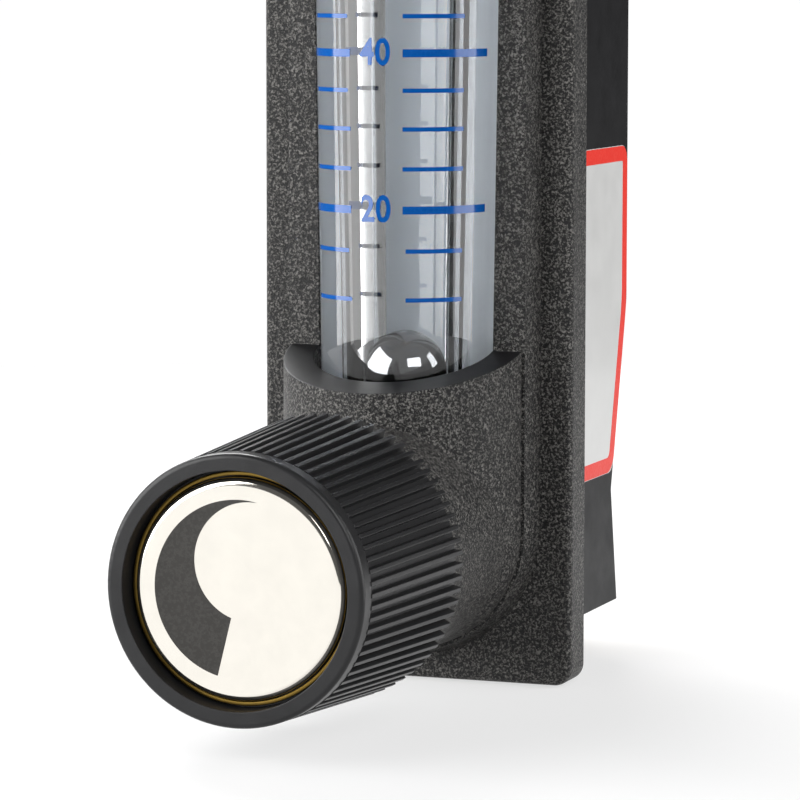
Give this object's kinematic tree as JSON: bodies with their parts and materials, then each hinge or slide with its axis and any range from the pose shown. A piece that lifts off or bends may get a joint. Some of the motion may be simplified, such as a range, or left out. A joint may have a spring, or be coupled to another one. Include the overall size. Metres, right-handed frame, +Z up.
{
  "type": "oxygen flowmeter",
  "caption": "Panel-mounted gas flowmeter: clear tapered tube with a steel ball float in a black bezel, with a knurled needle-valve knob below.",
  "frame": {"origin": "middle of the bottom edge of the bezel's rear (panel) face", "axes": "+X across the bezel to the viewer's right, +Y back into the panel along the bezel face's outward normal at the panel, +Z up the tube"},
  "size_m": [0.0254, 0.0656, 0.1222],
  "materials": {
    "bezel_plastic": "fine leather grain, moulded black",
    "clear_body": "clear polished acrylic",
    "case_plastic": "smooth satin black",
    "label_face": "white vinyl with a red border",
    "backing": "pale blue-grey",
    "port_brass": "turned",
    "seal_rubber": "matte black",
    "screw_steel": "zinc plated",
    "float_steel": "polished ball",
    "insert_plastic": "natural acetal",
    "valve_brass": "turned",
    "knob_plastic": "moulded black",
    "knob_disc": "polished, pale gold"
  },
  "bodies": {
    "housing": {"bezel": "bezel_plastic", "flow_body": "clear_body", "rear_case": "case_plastic", "side_label": "label_face", "backing_strip": "backing", "inlet_adapter": "port_brass", "outlet_adapter": "port_brass", "inlet_ring": "seal_rubber", "outlet_ring": "seal_rubber", "case_screws": "screw_steel", "float_seat": "insert_plastic", "float_stop": "insert_plastic", "top_plug": "valve_brass", "plug_ring": "seal_rubber", "valve_seat": "valve_brass", "valve_bush": "valve_brass", "bush_ring": "seal_rubber"},
    "float": {"float_ball": "float_steel"},
    "stem_seal": {"stem_ring": "seal_rubber"},
    "valve_spindle": {"valve_stem": "valve_brass", "knob": "knob_plastic", "knob_insert": "knob_disc", "knob_screw": "screw_steel"}
  },
  "joints": [
    {"name": "float_rise", "type": "slide", "parent": "housing", "child": "float", "axis": [0, 0, 1], "range_m": [0, 0.0702]},
    {"name": "stem_travel", "type": "slide", "parent": "housing", "child": "stem_seal", "axis": [0, -1, 0], "range_m": [0, 0.0021]},
    {"name": "knob_turn", "type": "hinge", "parent": "stem_seal", "child": "valve_spindle", "pos_m": [0, 0, 0.0122], "axis": [0, -1, 0], "range_deg": [0, 1080]}
  ],
  "couplings": [
    {"joint": "knob_turn", "follows": "stem_travel", "rad_per_m": 8976}
  ]
}
